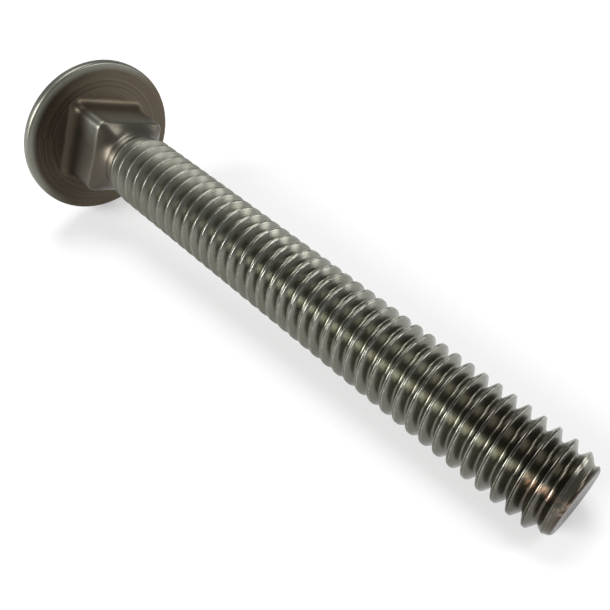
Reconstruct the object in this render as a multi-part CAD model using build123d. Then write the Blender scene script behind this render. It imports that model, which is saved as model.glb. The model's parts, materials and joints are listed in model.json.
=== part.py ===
"""Carriage bolt, 5/16-18 UNC x 2-1/2 in: round head, square neck, threaded up to the neck.

One piece of stainless steel, forged and then rolled, in millimetres. It lies as it comes
to rest on a level surface, on the rim of its head and the start of its tip chamfer, with
the tip towards +X. The origin is under the middle of its box, on that surface.

The bolt is drawn upright first, with its bearing face at height 0, the head below it and
the shank rising along +Z. The threaded length is drawn at the outside of the crests.
"""
from build123d import *
from math import asin, atan, degrees, hypot, radians, sqrt, tan
import os

INCH = 25.4

# Shank: a right-hand UNC thread, on a blank that shows bare next to the neck
LENGTH = 2.5 * INCH              # bearing face to the end of the tip
MAJOR_DIAMETER = 7.72            # over the crests
THREAD_DEPTH = 0.8               # crest to root
BARE_LENGTH = 0.5                # bare blank past the neck
RUNOUT_LENGTH = 1.2              # over which the thread comes up to full height
TIP_CHAMFER_LENGTH = 1.6         # down to the root of the thread

# Round head
HEAD_DIAMETER = 17.75
HEAD_HEIGHT = 4.2
RIM_HEIGHT = 0.95                # straight land around the edge of the head
RIM_ROUND = 0.4                  # on both edges of the land

# Square neck
SQUARE_OVER_THREAD = 0.38        # how much wider across its flats than the thread
SQUARE_DEPTH = 4.8               # bearing face to the square's front corners
SQUARE_CORNER = 0.9              # radius along its four long edges
SHOULDER_ANGLE = 25.0            # how far its front end falls back towards the shank
NECK_FILLET = 0.8                # where the flats meet the head
CORNER_TURN = 23.0               # turn of its top corner from straight up, towards -Y

MAJOR_RADIUS = MAJOR_DIAMETER / 2
ROOT_RADIUS = MAJOR_RADIUS - THREAD_DEPTH
BLANK_RADIUS = MAJOR_RADIUS - THREAD_DEPTH / 2
HEAD_RADIUS = HEAD_DIAMETER / 2
SQUARE_WIDTH = MAJOR_DIAMETER + SQUARE_OVER_THREAD
CORNER_REACH = SQUARE_WIDTH / sqrt(2) - SQUARE_CORNER * (sqrt(2) - 1)
SHOULDER_SLOPE = tan(radians(SHOULDER_ANGLE))
NECK_END = SQUARE_DEPTH + (CORNER_REACH - BLANK_RADIUS) * SHOULDER_SLOPE
THREAD_START = NECK_END + BARE_LENGTH
CHAMFER_START = LENGTH - TIP_CHAMFER_LENGTH


def turned(*corners):
    """A solid turned about the Z axis from the (radius, height) corners of its half section."""
    with BuildSketch(Plane.XZ) as section:
        with BuildLine():
            Polyline(*corners, close=True)
        make_face()
    return revolve(section.sketch, Axis.Z)


def make_head():
    """The round head: a flat bearing face, a straight land and a spherical crown."""
    crown_rise = HEAD_HEIGHT - RIM_HEIGHT
    crown_radius = (HEAD_RADIUS**2 + crown_rise**2) / (2 * crown_rise)
    with BuildSketch(Plane.XZ) as section:
        with BuildLine():
            Polyline((0, -HEAD_HEIGHT), (0, 0), (HEAD_RADIUS, 0), (HEAD_RADIUS, -RIM_HEIGHT))
            RadiusArc((HEAD_RADIUS, -RIM_HEIGHT), (0, -HEAD_HEIGHT), crown_radius)
        make_face()
        rim_corners = section.vertices().filter_by(lambda corner: corner.X > HEAD_RADIUS / 2)
        fillet(rim_corners, RIM_ROUND)
    return revolve(section.sketch, Axis.Z)


def make_square_neck():
    """The square under the head. Its front end falls back in a shallow cone to the shank."""
    square = RectangleRounded(SQUARE_WIDTH, SQUARE_WIDTH, SQUARE_CORNER)
    cone_tip = SQUARE_DEPTH + CORNER_REACH * SHOULDER_SLOPE
    cone_foot = cone_tip - SQUARE_WIDTH * SHOULDER_SLOPE
    cone = turned((0, 0), (SQUARE_WIDTH, 0), (SQUARE_WIDTH, cone_foot), (0, cone_tip))
    return extrude(square, cone_tip) & cone


def make_shank():
    """The shank: the bare blank, the threaded length, and the chamfered tip."""
    return turned(
        (0, 0),
        (BLANK_RADIUS, 0),
        (BLANK_RADIUS, THREAD_START),
        (MAJOR_RADIUS, THREAD_START + RUNOUT_LENGTH),
        (MAJOR_RADIUS, CHAMFER_START),
        (ROOT_RADIUS, LENGTH),
        (0, LENGTH),
    )


def make_bolt():
    """The whole bolt, upright, with the square filleted into the bearing face."""
    bolt = make_head() + make_square_neck() + make_shank()
    on_bearing_face = bolt.edges().filter_by_position(Axis.Z, 0, 0)
    around_square = on_bearing_face.filter_by(lambda edge: edge.length < SQUARE_WIDTH)
    return fillet(around_square, NECK_FILLET)


def resting_tilt():
    """How far, in degrees, the axis rises towards the head on a level surface.

    The head rests on the round edge of its bearing face and the shank on the start of its
    tip chamfer, and both points are equally low.
    """
    reach = CHAMFER_START + RIM_ROUND
    drop = HEAD_RADIUS - RIM_ROUND - MAJOR_RADIUS
    return degrees(atan(drop / reach) + asin(RIM_ROUND / hypot(reach, drop)))


def lay_down(bolt):
    """Turn the upright bolt onto its side, tip towards +X, over the origin."""
    square_turn = Rot(0, 0, 45 + CORNER_TURN)
    lying = Rot(0, 90 + resting_tilt(), 0) * square_turn * bolt
    box = lying.bounding_box()
    return Pos(-box.center().X, -box.center().Y, -box.min.Z) * lying


def main():
    os.makedirs("parts", exist_ok=True)
    export_step(lay_down(make_bolt()), "parts/carriage_bolt.step")


main()
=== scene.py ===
"""A threaded carriage bolt in stainless steel, lying on a pale floor.

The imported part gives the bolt's place: its head, square neck and thread are modelled
upright in bolt coordinates, with the bearing face of the head at height 0 and the tip
pointing up, and the finished piece is then laid where the part lies.
"""
import json
from math import atan2, cos, hypot, pi, radians, sin, sqrt, tan

import bmesh
import bpy
from mathutils import Euler, Matrix, Vector


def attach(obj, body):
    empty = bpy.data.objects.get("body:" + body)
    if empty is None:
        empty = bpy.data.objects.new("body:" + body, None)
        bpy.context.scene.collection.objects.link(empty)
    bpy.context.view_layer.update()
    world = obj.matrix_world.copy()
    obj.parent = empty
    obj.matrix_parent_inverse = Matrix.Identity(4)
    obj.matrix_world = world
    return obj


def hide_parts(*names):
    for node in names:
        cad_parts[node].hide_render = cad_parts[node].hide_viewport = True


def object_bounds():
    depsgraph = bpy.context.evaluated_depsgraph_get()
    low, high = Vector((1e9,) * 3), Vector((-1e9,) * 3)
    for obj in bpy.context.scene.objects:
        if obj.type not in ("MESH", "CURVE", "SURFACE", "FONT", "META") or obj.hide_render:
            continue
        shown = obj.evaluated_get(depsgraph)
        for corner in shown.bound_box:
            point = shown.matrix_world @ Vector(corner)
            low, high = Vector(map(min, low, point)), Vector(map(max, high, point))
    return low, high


bl_info = {
    "name": "Carriage Bolt",
    "version": (1, 0, 0),
    "blender": (4, 5, 0),
    "location": "View3D > Sidebar > Bolt",
    "description": "Models a threaded carriage bolt and a plain studio around it",
    "category": "Object",
}

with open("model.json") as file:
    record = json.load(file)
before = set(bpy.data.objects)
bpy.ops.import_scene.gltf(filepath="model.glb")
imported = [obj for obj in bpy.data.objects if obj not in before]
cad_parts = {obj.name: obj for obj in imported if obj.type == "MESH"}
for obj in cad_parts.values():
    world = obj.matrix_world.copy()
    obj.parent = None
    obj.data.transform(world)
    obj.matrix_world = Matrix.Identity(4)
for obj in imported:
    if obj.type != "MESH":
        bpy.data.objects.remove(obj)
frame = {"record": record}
cad_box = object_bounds()
mounts = {mount["name"]: mount for mount in frame["record"]["mounts"]}

MM = 0.001
INCH = 25.4 * MM
THREADS_PER_INCH = 18
AXIS = Vector(mounts["thread"]["axis"]).normalized()
MID_THREAD = Vector(mounts["thread"]["pos_m"])
BEARING_CENTRE = MID_THREAD + AXIS * (Vector(mounts["under_head"]["pos_m"]) - MID_THREAD).dot(AXIS)

# how far the bolt is turned about its own axis, which shows at the square neck
CORNER_TURN = radians(68)
PLACE = Matrix.Translation(BEARING_CENTRE) @ Matrix.LocRotScale(
    None, Euler((0, atan2(AXIS.x, AXIS.z), 0)), None
) @ Matrix.Rotation(CORNER_TURN, 4, "Z")


def length(name, description, default):
    """A size that a user can change, in metres."""
    return bpy.props.FloatProperty(name=name, description=description, default=default,
                                   unit="LENGTH", precision=5)


def colour(name, description, default):
    """A colour that a user can change."""
    return bpy.props.FloatVectorProperty(name=name, description=description, default=default,
                                         subtype="COLOR", size=3, min=0, max=1)


class BoltSizes(bpy.types.PropertyGroup):
    """The sizes of the bolt."""

    pitch: length("Pitch", "Distance from crest to crest", INCH / THREADS_PER_INCH)
    bolt_length: length("Length", "Bearing face to the end of the tip", 63.5 * MM)
    major_radius: length("Crest radius", "Radius over the crests",
                         mounts["thread"]["dims"]["r_mm"] * MM)
    thread_depth: length("Thread depth", "Crest to root", 0.8 * MM)
    crest_width: length("Crest width", "Flat on top of each thread", 0.22 * MM)
    crest_round: length("Crest round", "Round on the edges of the crest", 0.07 * MM)
    seam_depth: length("Crest seam", "Depth of the rolling seam along the crest", 0.05 * MM)
    thread_start: length("Thread start", "Where the thread begins to rise", 6.4 * MM)
    runout: length("Run-out", "Length over which the thread rises", 2.6 * MM)
    chamfer: length("Tip chamfer", "Length of the chamfer at the tip", 1.6 * MM)
    head_radius: length("Head radius", "Radius of the round head",
                        (cad_box[1].y - cad_box[0].y) / 2)
    head_height: length("Head height", "Bearing face to the top of the crown", 4.2 * MM)
    rim_height: length("Rim height", "Straight land around the head", 0.95 * MM)
    rim_round: length("Rim round", "Round between rim and crown", 0.4 * MM)
    bearing_round: length("Bearing round", "Round between rim and bearing face", 0.35 * MM)
    square_width: length("Square width", "Square neck across its flats", 8.1 * MM)
    square_depth: length("Square depth", "Bearing face to the square's front", 4.8 * MM)
    square_corner: length("Square corner", "Radius along the square's edges", 0.9 * MM)
    shoulder: length("Shoulder", "Length over which the square narrows to the shank", 1.5 * MM)
    neck_flare: length("Neck flare", "How far the square's foot spreads on the head", 0.75 * MM)
    neck_foot: length("Neck foot", "How high the square's foot reaches", 1.4 * MM)


class BoltColours(bpy.types.PropertyGroup):
    """The colours of the bolt and the floor."""

    steel: colour("Steel", "Clean rolled steel", (0.205, 0.205, 0.175))
    # Painted shade in the roots of the thread; the cloudy patches on the thread reuse this colour
    # as a random darker tone.
    valley_shade: colour("Valleys", "Dull steel in the roots of the thread", (0.145, 0.140, 0.110))
    # Painted highlight along the crest edges and on the upper faces of the square, with patches of
    # wear on the crests.
    sheen_and_wear: colour("Worn edges", "Bright steel along the crests", (0.42, 0.42, 0.38))
    tarnish: colour("Tarnish", "Brown film under the head", (0.155, 0.130, 0.095))
    # Darker rings under the head; also used for painted shade on one side under the head, for the
    # painted dark end face, and for darker brown places near the tip.
    dark_tarnish_and_shade: colour("Dark tarnish", "Darker rings under the head", (0.052, 0.040, 0.029))
    # Darker steel on the shoulder and plain shank in front of the square; also painted shade on
    # the lower side of the thread and on one side of the neck and shank.
    dull_and_shade: colour("Dull steel", "Forged steel in front of the neck", (0.088, 0.077, 0.060))
    stain: colour("Stains", "Copper-coloured stains near the tip", (0.36, 0.26, 0.20))
    floor: colour("Floor", "The pale floor", (0.5, 0.5, 0.5))


# Modelling helpers

STEPS_AROUND = 96
TINY = 0.0002 * MM


def leave_edit_mode():
    if bpy.context.mode != "OBJECT":
        bpy.ops.object.mode_set(mode="OBJECT")


def enter_edit_mode():
    bpy.ops.object.mode_set(mode="EDIT")


def deselect_all():
    leave_edit_mode()
    bpy.ops.object.select_all(action="DESELECT")


def draw_outline(name, points):
    """Draw an open outline of (radius, height) points in the XZ plane; stays in edit mode."""
    deselect_all()
    bpy.ops.mesh.primitive_plane_add(size=MM, enter_editmode=True)
    bpy.context.object.name = name
    bpy.ops.mesh.merge(type="CENTER")
    previous = (0, 0)
    for index, (x, z) in enumerate(points):
        step = {"value": (x - previous[0], 0, z - previous[1])}
        if index == 0:
            bpy.ops.transform.translate(**step)
        else:
            bpy.ops.mesh.extrude_vertices_move(TRANSFORM_OT_translate=step)
        previous = (x, z)
    return bpy.context.object


def select_vertices(test):
    """In edit mode, select just the vertices whose place passes the test, and what they span."""
    bpy.ops.mesh.select_mode(type="VERT")
    mesh = bmesh.from_edit_mesh(bpy.context.object.data)
    for vertex in mesh.verts:
        vertex.select_set(bool(test(vertex.co)))
    mesh.select_flush_mode()
    bmesh.update_edit_mesh(bpy.context.object.data)


def round_corner(x, z, offset, segments):
    """Round the outline's corner at (x, z)."""
    select_vertices(lambda place: hypot(place.x - x, place.z - z) < TINY)
    bpy.ops.mesh.bevel(affect="VERTICES", offset=offset, segments=segments)


def add_modifier(piece, kind, **settings):
    """Add a modifier, set it and apply it."""
    leave_edit_mode()
    modifier = piece.modifiers.new(kind.title(), kind)
    for setting, value in settings.items():
        setattr(modifier, setting, value)
    bpy.ops.object.modifier_apply(modifier=modifier.name)


def revolve(piece, rise=0.0):
    """Turn an outline once about the Z axis, rising along it as a right-hand screw."""
    add_modifier(piece, "SCREW", axis="Z", angle=2 * pi, screw_offset=rise,
                 steps=STEPS_AROUND, render_steps=STEPS_AROUND, use_smooth_shade=True)
    enter_edit_mode()
    bpy.ops.mesh.select_all(action="SELECT")
    bpy.ops.mesh.remove_doubles(threshold=TINY)


def pull_to_radius(piece, radius, weight):
    """Move vertices towards a cylinder about the Z axis, by the weight of their place."""
    leave_edit_mode()
    group = piece.vertex_groups.new(name="pull")
    for vertex in piece.data.vertices:
        share = float(weight(vertex.co))
        if share > 0:
            group.add([vertex.index], share, "REPLACE")
    add_modifier(piece, "CAST", cast_type="CYLINDER", use_x=True, use_y=True, use_z=False,
                 factor=1, size=radius, use_radius_as_size=False, vertex_group=group.name)
    piece.vertex_groups.clear()
    enter_edit_mode()


def cut(height, keep_above, fill):
    """In edit mode, cut everything at a height and keep one side."""
    bpy.ops.mesh.select_all(action="SELECT")
    bpy.ops.mesh.bisect(plane_co=(0, 0, height), plane_no=(0, 0, 1), use_fill=fill,
                        clear_inner=keep_above, clear_outer=not keep_above, threshold=TINY)


def extrude_ring(rise, scale=1.0):
    """In edit mode, extrude the selected ring along Z and scale it about the Z axis."""
    bpy.ops.mesh.extrude_region_move(TRANSFORM_OT_translate={"value": (0, 0, rise)})
    bpy.ops.transform.resize(value=(scale, scale, 1), center_override=(0, 0, 0))


def ease(value):
    """A smooth rise from 0 to 1 as value goes from 0 to 1."""
    value = min(max(value, 0.0), 1.0)
    return value * value * (3 - 2 * value)


# Head, neck and thread


def arc(centre, radius, start, end, steps):
    """Points of an arc in (radius, height), without its first point."""
    for step in range(1, steps + 1):
        angle = start + (end - start) * step / steps
        yield centre[0] + radius * cos(angle), centre[1] + radius * sin(angle)


def head_outline(sizes):
    """The head's outline from the bearing face round the rim to the middle of the crown."""
    radius, height, rim = sizes.head_radius, sizes.head_height, sizes.rim_height
    rise = height - rim
    crown_radius = (radius**2 + rise**2) / (2 * rise)
    crown_centre = (0, crown_radius - height)
    edge = sizes.bearing_round
    edge_steps, corner_steps, crown_steps = 6, 4, 18
    yield radius - edge, 0
    yield from arc((radius - edge, -edge), edge, pi / 2, 0, edge_steps)

    # a round that touches both the rim and the crown
    corner = sizes.rim_round
    corner_height = crown_centre[1] - sqrt((crown_radius - corner)**2 - (radius - corner)**2)
    crown_end = atan2(corner_height - crown_centre[1], radius - corner)
    yield from arc((radius - corner, corner_height), corner, 0, crown_end, corner_steps)
    yield from arc(crown_centre, crown_radius, crown_end, -pi / 2, crown_steps)


def draw_square(sizes):
    """The outline of the square's section, at the top of its foot; stays in edit mode."""
    corner_segments = 8
    flat_cuts = STEPS_AROUND // 4 - corner_segments - 1
    deselect_all()
    bpy.ops.mesh.primitive_plane_add(size=sizes.square_width, location=(0, 0, sizes.neck_foot))
    bolt = bpy.context.object
    bpy.ops.object.transform_apply(location=True, rotation=False, scale=False)
    enter_edit_mode()
    bpy.ops.mesh.select_all(action="SELECT")
    bpy.ops.mesh.bevel(affect="VERTICES", offset=sizes.square_corner, segments=corner_segments)
    bpy.ops.mesh.delete(type="ONLY_FACE")
    bpy.ops.mesh.select_mode(type="EDGE")
    mesh = bmesh.from_edit_mesh(bolt.data)
    for edge in mesh.edges:
        edge.select_set(edge.calc_length() > sizes.square_width / 2)
    bpy.ops.mesh.subdivide(number_cuts=flat_cuts)
    bpy.ops.mesh.select_all(action="SELECT")
    return bolt


def draw_head(bolt, sizes):
    """Draw the square's outline down its spreading foot, over the bearing face and the crown."""
    half, foot, flare = sizes.square_width / 2, sizes.neck_foot, sizes.neck_flare
    foot_steps = 7
    reach, level = half, foot
    for step in range(1, foot_steps + 1):
        angle = pi / 2 * step / foot_steps
        next_reach = half + flare * (1 - cos(angle))
        next_level = foot * (1 - sin(angle))
        extrude_ring(next_level - level, next_reach / reach)
        reach, level = next_reach, next_level

    # on the bearing face the square becomes round, a little inside the edge
    outline = list(head_outline(sizes))
    inset = 0.4 * MM
    radius, level = outline[0][0] - inset, 0
    extrude_ring(0, radius / reach)
    between = (radius + reach) / 2
    pull_to_radius(bolt, radius, lambda place: max(abs(place.x), abs(place.y)) > between)
    for next_radius, next_level in outline:
        extrude_ring(next_level - level, next_radius / radius)
        radius, level = next_radius, next_level
    bpy.ops.mesh.merge(type="CENTER")


def draw_shoulder(bolt, sizes, blank_radius):
    """Draw the square's outline up to its front, and narrow it to the round shank."""
    flat_steps, shoulder_steps = 6, 10
    front_round, front_segments = 0.2 * MM, 4
    steepness = 1.5
    select_vertices(lambda place: abs(place.z - sizes.neck_foot) < TINY)
    for step in range(flat_steps):
        extrude_ring((sizes.square_depth - sizes.neck_foot) / flat_steps)
    for step in range(shoulder_steps):
        extrude_ring(sizes.shoulder / shoulder_steps)

    def shoulder_share(place):
        share = min(max((place.z - sizes.square_depth) / sizes.shoulder, 0), 1)
        return 1 - (1 - share) ** steepness

    pull_to_radius(bolt, blank_radius, shoulder_share)
    select_vertices(lambda place: abs(place.z - sizes.square_depth) < TINY)
    bpy.ops.mesh.bevel(affect="EDGES", offset=front_round, segments=front_segments)


def make_head_and_neck(sizes, blank_radius):
    """One skin from the middle of the crown to the front of the shoulder, open there."""
    bolt = draw_square(sizes)
    draw_head(bolt, sizes)
    draw_shoulder(bolt, sizes, blank_radius)
    return bolt


def thread_outline(sizes, sharp_radius):
    """One pitch of the thread's profile, with sharp roots, as (radius, height) points."""
    pitch, crest, top = sizes.pitch, sizes.crest_width, sizes.major_radius
    seam_half_width = crest / 4
    return [
        (sharp_radius, -pitch / 2),
        (top, -crest / 2),
        (top, -seam_half_width),
        (top - sizes.seam_depth, 0),
        (top, seam_half_width),
        (top, crest / 2),
        (sharp_radius, pitch / 2),
    ]


def make_thread(sizes, blank_radius):
    """The threaded shank, open where the neck joins it."""
    pitch, crest, top = sizes.pitch, sizes.crest_width, sizes.major_radius
    half_angle = radians(30)
    sharp_depth = (pitch - crest) / 2 / tan(half_angle)
    root_tangent = (sharp_depth - sizes.thread_depth) / tan(half_angle)
    sharp_radius = top - sharp_depth
    thread = draw_outline("thread", thread_outline(sizes, sharp_radius))
    crest_segments, root_segments = 2, 6
    for edge in (-crest / 2, crest / 2):
        round_corner(top, edge, sizes.crest_round / 2, crest_segments)

    # the spare turns at both ends are cut off below
    spare_turns = 2
    first_turn = int(sizes.thread_start / pitch) - spare_turns
    turns = round(sizes.bolt_length / pitch) + spare_turns - first_turn
    bpy.ops.mesh.select_all(action="SELECT")
    bpy.ops.transform.translate(value=(0, 0, first_turn * pitch))
    add_modifier(thread, "ARRAY", count=turns, use_relative_offset=False,
                 use_constant_offset=True, constant_offset_displace=(0, 0, pitch),
                 use_merge_vertices=True, merge_threshold=TINY)
    enter_edit_mode()
    select_vertices(lambda place: abs(place.x - sharp_radius) < TINY)
    bpy.ops.mesh.bevel(affect="VERTICES", offset=root_tangent, segments=root_segments)
    revolve(thread, rise=pitch)

    chamfer_start = sizes.bolt_length - sizes.chamfer
    root_radius = top - sizes.thread_depth

    def rise_share(place):
        return 1 - ease((place.z - sizes.thread_start) / sizes.runout)

    def chamfer_share(place):
        along = (place.z - chamfer_start) / sizes.chamfer
        limit = top - sizes.thread_depth * max(along, 0)
        radius = hypot(place.x, place.y)
        return min((radius - limit) / (radius - root_radius), 1) if radius > limit + TINY else 0

    pull_to_radius(thread, blank_radius, rise_share)
    pull_to_radius(thread, root_radius, chamfer_share)
    cut(sizes.thread_start, keep_above=True, fill=False)
    close_tip(sizes)
    return thread


def close_tip(sizes):
    """Cut the thread off near the tip, round its edge and close it with a shallow dish."""
    tip_round = 0.15 * MM
    rounded_edge = ((tip_round / 2, 0.975), (tip_round / 2, 0.96))
    dish = ((0, 0.8), (-0.06 * MM, 0.75), (-0.05 * MM, 0.6))
    level = sizes.bolt_length - tip_round
    cut(level, keep_above=False, fill=True)
    select_vertices(lambda place: abs(place.z - level) < TINY)
    for rise, scale in rounded_edge + dish:
        extrude_ring(rise, scale)


def join(first, second, low, high):
    """Join two pieces and bridge the open rings between two heights."""
    deselect_all()
    for piece in (first, second):
        piece.select_set(True)
    bpy.context.view_layer.objects.active = first
    bpy.ops.object.join()
    enter_edit_mode()
    bpy.ops.mesh.select_mode(type="EDGE")
    bpy.ops.mesh.select_all(action="DESELECT")
    mesh = bmesh.from_edit_mesh(first.data)
    for edge in mesh.edges:
        heights = [vertex.co.z for vertex in edge.verts]
        edge.select_set(edge.is_boundary and min(heights) > low and max(heights) < high)
    bmesh.update_edit_mesh(first.data)
    bpy.ops.mesh.bridge_edge_loops()
    leave_edit_mode()
    return first


# Material


class Signal:
    """A value in a material's nodes. Arithmetic on it adds Math nodes."""

    def __init__(self, tree, socket=None):
        self.tree = tree
        self.socket = socket

    def add(self, kind, inputs, output=0, **settings):
        """Add a node, with its settings first, then a value or a Signal for each input.

        Inputs and the output go by name, or by number where names repeat.
        """
        node = self.tree.nodes.new("ShaderNode" + kind)
        for name, value in settings.items():
            setattr(node, name, value)
        for key, value in inputs.items():
            if isinstance(value, Signal):
                self.tree.links.new(value.socket, node.inputs[key])
            else:
                node.inputs[key].default_value = value
        return Signal(self.tree, node.outputs[output])

    def math(self, operation, *values):
        return self.add("Math", dict(enumerate(values)), operation=operation)

    def __add__(self, other):
        return self.math("ADD", self, other)

    __radd__ = __add__

    def __mul__(self, other):
        return self.math("MULTIPLY", self, other)

    __rmul__ = __mul__

    def __sub__(self, other):
        return self.math("SUBTRACT", self, other)

    def __rsub__(self, other):
        return self.math("SUBTRACT", other, self)

    def __truediv__(self, other):
        return self.math("DIVIDE", self, other)

    def fade(self, low, high):
        """0 at low and 1 at high, with a smooth rise between them."""
        return self.add("MapRange", {"Value": self, "From Min": low, "From Max": high},
                        interpolation_type="SMOOTHSTEP")

    def split(self, vector):
        """The three parts of a vector."""
        parts = self.add("SeparateXYZ", {0: vector}).socket.node.outputs
        return [Signal(self.tree, part) for part in parts]

    def noise(self, vector, scale, detail=2.0, roughness=0.5):
        return self.add("TexNoise", {"Vector": vector, "Scale": scale, "Detail": detail,
                                     "Roughness": roughness})

    def mix(self, share, first, second):
        """The first colour where share is 0 and the second where it is 1."""
        first, second = [each if isinstance(each, Signal) else (*each, 1)
                         for each in (first, second)]
        return self.add("Mix", {0: share, 6: first, 7: second}, output=2, data_type="RGBA")

    def tinted(self, share, tint):
        """This colour, mixed towards a tint by share."""
        return self.mix(share, self, tint)


class BoltSurface:
    """Where a point of the surface lies on the bolt, as Signals in millimetres and turns."""

    def __init__(self, make, sizes):
        self.make = make
        self.place = make.add(
            "Mapping",
            {"Vector": make.add("TexCoord", {}, output="Object"),
             "Location": PLACE.translation, "Rotation": PLACE.to_euler(),
             "Scale": (MM, MM, MM)},
            vector_type="TEXTURE",
        )
        x, y, self.height = make.split(self.place)
        self.radius = make.math("SQRT", x * x + y * y)
        self.turn = make.math("ARCTAN2", y, x) / (2 * pi)
        self.tip = sizes.bolt_length / MM

    def near_tip(self, far, near):
        """0 further than far from the tip, 1 closer than near."""
        return self.height.fade(self.tip - far, self.tip - near)

    def facing(self, degrees, low, high):
        """1 on one side of the bolt, 0 away from it.

        The side goes by its angle from the upper side, towards the front one. Low and high
        are the cosines of the angles from it at which the value is 0 and 1.
        """
        upper_side = pi - CORNER_TURN
        angle = self.turn * (2 * pi) - (upper_side + radians(degrees))
        return self.make.math("COSINE", angle).fade(low, high)

    def lines(self, outwards, around, along, detail, roughness=0.5, start=0.0):
        """Noise in lines around the bolt, by its scale in the three directions.

        Start picks another stretch of the noise, so that two sets of lines differ.
        """
        vector = self.make.add("CombineXYZ", {
            0: self.radius * outwards, 1: self.turn * around, 2: self.height * along + start})
        return self.make.noise(vector, 1.0, detail, roughness)


def crest_edges(make, bolt, sizes):
    """1 along both edges of the thread's crest, 0 on its flanks; its sizes are in pitches."""
    turns_up = bolt.height / (sizes.pitch / MM) - bolt.turn
    from_crest = make.math("ABSOLUTE", make.math("FRACT", turns_up + 0.5) - 0.5)
    half_crest = sizes.crest_width / sizes.pitch / 2
    edge_reach = 0.045
    return 1 - make.math("ABSOLUTE", from_crest - half_crest).fade(0.0, edge_reach)


def thread_steel(make, bolt, colours, valley_shade, sheen_and_wear, streaks):
    """Clean steel with painted shade in the roots, cloudy streaks, and a painted highlight with
    patches of wear along the crest edges.
    """
    clouds = make.noise(bolt.place, 0.25, 3, 0.5) * 0.5 + streaks * 0.5
    # painted shade in the roots of the thread
    steel = make.mix(valley_shade * 0.8, colours.steel, colours.valley_shade)
    steel = steel.tinted(clouds.fade(0.42, 0.65) * 0.6, colours.valley_shade)
    # painted highlight along the crest edges, with patches of wear
    return steel.tinted(sheen_and_wear * 0.8, colours.sheen_and_wear)


def weathered_and_shaded(make, bolt, colours, steel, on_thread):
    """The same steel with painted shade on its lower side, on one side before the thread and on
    the end face, a darker band in front of the square, darker brown places near the tip, a painted
    highlight on the upper faces of the square, and copper stains near the tip.
    """
    # painted shade on the lower side of the thread, stronger towards the tip
    painted_underside_shade = on_thread * bolt.facing(123, 0.3, 0.95) * (0.25 + 0.2 * bolt.near_tip(18.5, 3.5))
    steel = steel.tinted(painted_underside_shade, colours.dull_and_shade)

    # darker brown places near the tip, on the top and on the front
    brown_top = bolt.near_tip(16.5, 5.5) * bolt.facing(14, 0.80, 0.99) * 0.55
    brown_front = bolt.near_tip(5.5, 3.0) * bolt.facing(80, 0.70, 0.95) * 0.55
    # the end face of the tip is painted dark: painted shade
    browned_and_end_shade = make.math("MAXIMUM", brown_top, bolt.near_tip(0.35, 0.1))
    browned_and_end_shade = make.math("MAXIMUM", browned_and_end_shade, brown_front)
    steel = steel.tinted(browned_and_end_shade, colours.dark_tarnish_and_shade)

    neck_and_shank = bolt.height.fade(0.0, 0.4)
    on_square = neck_and_shank * (1 - bolt.height.fade(4.2, 5.0))
    # painted highlight on the upper faces of the square
    steel = steel.tinted(on_square * bolt.facing(-19, 0.75, 0.95) * 0.4, colours.sheen_and_wear)

    before_thread = neck_and_shank * (1 - bolt.height.fade(6.0, 8.5))
    # a darker band in front of the square, and painted shade on one side of the neck and shank
    forged_band_and_side_shade = bolt.height.fade(4.5, 5.0) * 0.8 + bolt.facing(83, 0.5, 0.9) * 0.8
    steel = steel.tinted(before_thread * forged_band_and_side_shade, colours.dull_and_shade)

    patches = make.noise(bolt.place, 1.1, 2, 0.5).fade(0.42, 0.56)
    stained = bolt.near_tip(3.9, 3.1) * bolt.facing(53, 0.972, 0.998)
    return steel.tinted(stained * patches * 0.7, colours.stain)


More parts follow.
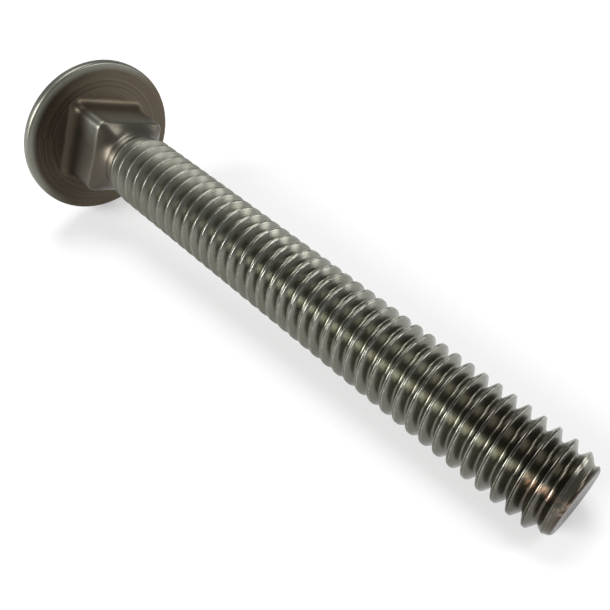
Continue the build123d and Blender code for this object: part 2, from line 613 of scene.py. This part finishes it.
def make_steel(sizes, colours):
    """Rolled stainless steel: turning rings under the head, rolling lines along the thread."""
    material = bpy.data.materials.new("rolled_stainless_steel")
    material.use_nodes = True
    tree = material.node_tree
    tree.nodes.clear()
    make = Signal(tree)
    bolt = BoltSurface(make, sizes)
    height = bolt.height

    # where things are
    thread_start, runout = sizes.thread_start / MM, sizes.runout / MM
    on_thread = height.fade(thread_start, thread_start + runout)
    head_radius = sizes.head_radius / MM
    rim = bolt.radius.fade(head_radius - 1.0, head_radius - 0.35)
    # painted highlight: on its lit side the rim keeps the bare steel instead of the brown film
    rim_painted_highlight = rim * bolt.facing(38, -0.3, 0.5)
    under_head = height.fade(-0.30, -0.10) * (1 - height.fade(0.3, 3.6)) * (1 - rim_painted_highlight)
    bearing_face = 1 - height.fade(0.0, 0.12)
    root_radius = (sizes.major_radius - sizes.thread_depth) / MM
    above_root = (bolt.radius - root_radius) / (sizes.thread_depth / MM)
    # painted shade, darkest at the roots of the thread
    valley_shade = (1 - above_root.fade(0.0, 0.75)) * on_thread
    # painted highlight along the crest edges, stronger towards the tip and broken into patches of
    # wear
    towards_tip = 0.35 + 0.65 * height.fade(8.0, 36.0)
    crest_patches = make.noise(bolt.place, 3.0, 3).fade(0.35, 0.6)
    sheen_and_wear = crest_edges(make, bolt, sizes) * on_thread * towards_tip * crest_patches

    # marks of the tools
    rings = bolt.lines(9, 1.5, 0, detail=3)
    coarse_rings = bolt.lines(2.2, 2, 0, detail=2, start=4.0)
    rolling = bolt.lines(14, 14, 1.3, detail=3)
    streaks = bolt.lines(6, 7, 0.6, detail=4, roughness=0.6)
    grain = make.noise(bolt.place, 9.0, 3, 0.6)

    steel = thread_steel(make, bolt, colours, valley_shade, sheen_and_wear, streaks)
    steel = weathered_and_shaded(make, bolt, colours, steel, on_thread)
    rings_and_side_shade = rings.fade(0.3, 0.7) * bearing_face * 0.4 + coarse_rings * 0.3
    # painted shade on one side under the head
    rings_and_side_shade = rings_and_side_shade + bolt.facing(83, -0.3, 0.9) * 0.6
    brown_film_with_side_shade = make.mix(rings_and_side_shade, colours.tarnish, colours.dark_tarnish_and_shade)

    matte = 1 - height.fade(4.0, 34.0)
    roughness = 0.13 + 0.05 * grain + 0.12 * streaks + 0.04 * valley_shade
    roughness = roughness + under_head * 0.06 + matte * 0.16

    relief = (rings - 0.5) * under_head * bearing_face * 0.030
    relief = relief + (rolling - 0.5) * on_thread * 0.010 + (grain - 0.5) * 0.003
    shader = make.add("BsdfPrincipled", {
        "Base Color": make.mix(under_head, steel, brown_film_with_side_shade),
        "Metallic": 1.0,
        "Roughness": roughness,
        "Normal": make.add("Bump", {"Strength": 1.0, "Distance": 0.001, "Height": relief}),
    })
    output = tree.nodes.new("ShaderNodeOutputMaterial")
    tree.links.new(shader.socket, output.inputs["Surface"])
    return material


class BOLT_OT_add_bolt(bpy.types.Operator):
    """Model the whole bolt and lay it on the floor"""

    bl_idname = "bolt.add_bolt"
    bl_label = "Carriage bolt"

    def execute(self, context):
        sizes = context.scene.bolt_sizes
        blank_radius = sizes.major_radius - sizes.thread_depth / 2
        bolt = make_head_and_neck(sizes, blank_radius)
        thread = make_thread(sizes, blank_radius)
        neck_end = sizes.square_depth + sizes.shoulder
        bolt = join(bolt, thread, neck_end - TINY, sizes.thread_start + TINY)
        bolt.name = "carriage_bolt_steel"
        bolt.data.transform(PLACE)
        enter_edit_mode()
        bpy.ops.mesh.select_all(action="SELECT")
        bpy.ops.mesh.normals_make_consistent(inside=False)
        leave_edit_mode()
        sharp_from = radians(40)
        bpy.ops.object.shade_smooth_by_angle(angle=sharp_from)
        bolt.data.materials.clear()
        bolt.data.materials.append(make_steel(sizes, context.scene.bolt_colours))
        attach(bolt, "root")
        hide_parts("carriage_bolt")
        return {"FINISHED"}


# name, azimuth about the bolt (0 is beyond the tip), elevation, width in metres, power in watts
SOFTBOXES = (
    ("front_softbox", radians(265), radians(35), 0.28, 3.2),
    ("left_softbox", radians(240), radians(22), 0.32, 3.8),
    ("overhead_softbox", radians(160), radians(70), 0.45, 3.4),
    ("back_softbox", radians(45), radians(40), 0.36, 1.9),
    ("low_back_softbox", radians(60), radians(10), 0.30, 0.8),
)
SOFTBOX_DISTANCE = 0.8


def direction(azimuth, elevation):
    """A unit vector; azimuth 0 is +X, elevation 0 is level."""
    return Vector((cos(azimuth) * cos(elevation), sin(azimuth) * cos(elevation),
                   sin(elevation)))


def add_softbox(name, azimuth, elevation, width, power):
    """A round soft light that faces the bolt."""
    towards = direction(azimuth, elevation)
    bpy.ops.object.light_add(type="AREA", location=towards * SOFTBOX_DISTANCE)
    light = bpy.context.object
    light.name = name
    light.data.shape = "DISK"
    light.data.size = width
    light.data.energy = power
    light.rotation_euler = towards.to_track_quat("Z", "Y").to_euler()


def add_floor(albedo):
    """A wide pale floor, which glows a little so that it stays pale in soft light."""
    bpy.ops.mesh.primitive_plane_add(size=6, location=(0, 0, 0))
    floor = bpy.context.object
    floor.name = "floor"
    material = bpy.data.materials.new("pale_floor")
    material.use_nodes = True
    shader = material.node_tree.nodes["Principled BSDF"]
    shader.inputs["Base Color"].default_value = (*albedo, 1)
    shader.inputs["Roughness"].default_value = 0.9
    shader.inputs["Specular IOR Level"].default_value = 0.1
    shader.inputs["Emission Color"].default_value = (1, 1, 1, 1)
    shader.inputs["Emission Strength"].default_value = 0.4
    floor.data.materials.append(material)


def add_world():
    """Even white light from all around."""
    world = bpy.data.worlds.new("studio")
    bpy.context.scene.world = world
    world.use_nodes = True
    background = world.node_tree.nodes["Background"]
    background.inputs["Color"].default_value = (1, 1, 1, 1)
    background.inputs["Strength"].default_value = 0.33


def add_camera():
    """A close camera beyond the tip, looking down at the front of the bolt."""
    target = BEARING_CENTRE + AXIS * 38.1 * MM
    distance = 63.4 * MM
    back = direction(azimuth=radians(-44.8), elevation=radians(42.8))
    bpy.ops.object.camera_add(location=target + back * distance)
    camera = bpy.context.object
    camera.rotation_euler = back.to_track_quat("Z", "Y").to_euler()
    camera.data.sensor_width = 36
    camera.data.lens = 41.4
    camera.data.shift_x = -0.047
    camera.data.shift_y = 0.019
    camera.data.clip_start = 1 * MM
    bpy.context.scene.camera = camera


class BOLT_OT_add_stage(bpy.types.Operator):
    """Add the floor, the soft lights and the camera"""

    bl_idname = "bolt.add_stage"
    bl_label = "Studio"

    def execute(self, context):
        deselect_all()
        add_floor(context.scene.bolt_colours.floor)
        add_world()
        for softbox in SOFTBOXES:
            add_softbox(*softbox)
        add_camera()
        context.scene.view_settings.view_transform = "Standard"
        return {"FINISHED"}


class BOLT_PT_panel(bpy.types.Panel):
    """Lists the bolt and its studio in the sidebar."""

    bl_label = "Carriage bolt"
    bl_idname = "BOLT_PT_panel"
    bl_space_type = "VIEW_3D"
    bl_region_type = "UI"
    bl_category = "Bolt"

    def draw(self, context):
        self.layout.operator(BOLT_OT_add_bolt.bl_idname)
        self.layout.operator(BOLT_OT_add_stage.bl_idname)
        for group in (context.scene.bolt_sizes, context.scene.bolt_colours):
            box = self.layout.box()
            for name in group.bl_rna.properties.keys():
                if name not in {"rna_type", "name"}:
                    box.prop(group, name)


CLASSES = (BoltSizes, BoltColours, BOLT_OT_add_bolt, BOLT_OT_add_stage, BOLT_PT_panel)


def register():
    for each in CLASSES:
        bpy.utils.register_class(each)
    bpy.types.Scene.bolt_sizes = bpy.props.PointerProperty(type=BoltSizes)
    bpy.types.Scene.bolt_colours = bpy.props.PointerProperty(type=BoltColours)


def unregister():
    del bpy.types.Scene.bolt_colours
    del bpy.types.Scene.bolt_sizes
    for each in reversed(CLASSES):
        bpy.utils.unregister_class(each)


def main():
    """Build the bolt and its studio."""
    register()
    bpy.ops.bolt.add_bolt()
    bpy.ops.bolt.add_stage()


if __name__ == "__main__":
    main()
